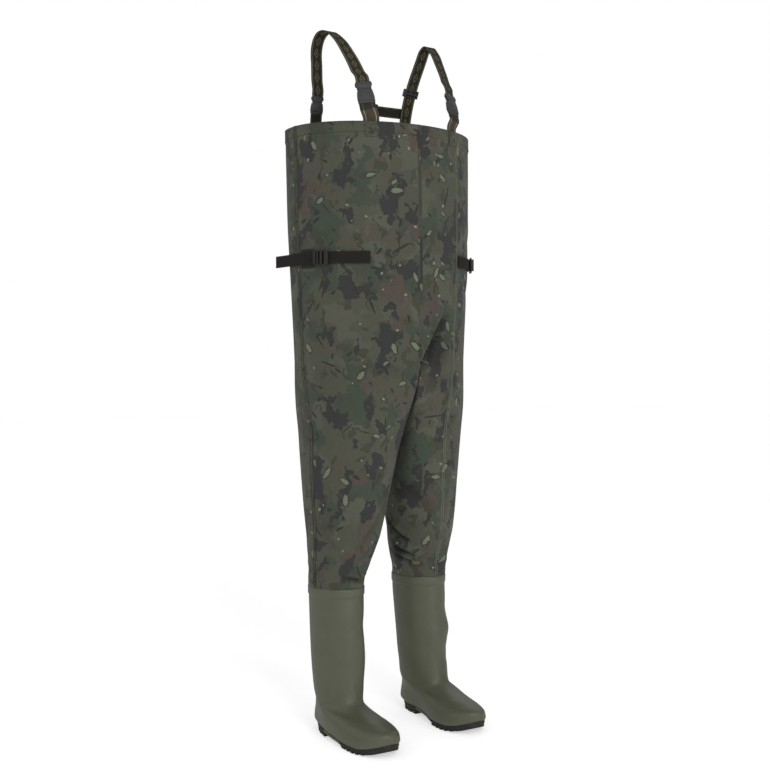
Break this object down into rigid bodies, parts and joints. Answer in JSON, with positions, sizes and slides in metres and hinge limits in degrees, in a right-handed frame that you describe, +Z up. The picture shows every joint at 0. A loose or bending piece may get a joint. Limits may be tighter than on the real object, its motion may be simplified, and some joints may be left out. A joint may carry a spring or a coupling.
{
  "type": "chest waders",
  "caption": "Camouflage cloth chest waders with moulded rubber boots joined to the legs, webbing shoulder straps on side-release clips and short waist straps.",
  "frame": {"origin": "middle of the overall outline on the floor, under the waders", "axes": "+Z up from the soles to the straps, -Y the way the wearer faces, +X to the wearer's left"},
  "size_m": [0.4866, 0.3944, 1.6803],
  "materials": {
    "cloth": null,
    "boot_pvc": "satin moulded olive PVC",
    "sole_rubber": "matt dark brown rubber",
    "insole_felt": "matt grey felt",
    "webbing": "dark brown woven webbing with pale edge lines",
    "clip_plastic": "charcoal moulded plastic"
  },
  "bodies": {
    "root": {"wader_body": "cloth", "boot_right": "boot_pvc", "boot_left": "boot_pvc", "outsole_right": "sole_rubber", "outsole_left": "sole_rubber", "insole_right": "insole_felt", "insole_left": "insole_felt", "strap_right": "webbing", "strap_left": "webbing", "front_tab_right": "webbing", "front_tab_left": "webbing", "back_tab_right": "webbing", "bridge_tab": "webbing", "back_bridge": "webbing", "waist_strap_right": "webbing", "waist_strap_left": "webbing", "waist_patch_right": "webbing", "waist_patch_left": "webbing", "front_clip_right_body": "clip_plastic", "front_clip_right_prongs": "clip_plastic", "front_clip_left_body": "clip_plastic", "front_clip_left_prongs": "clip_plastic", "back_clip_right_body": "clip_plastic", "back_clip_right_prongs": "clip_plastic", "back_slider_left": "clip_plastic", "waist_slider_right": "clip_plastic", "waist_slider_left": "clip_plastic"}
  },
  "joints": []
}
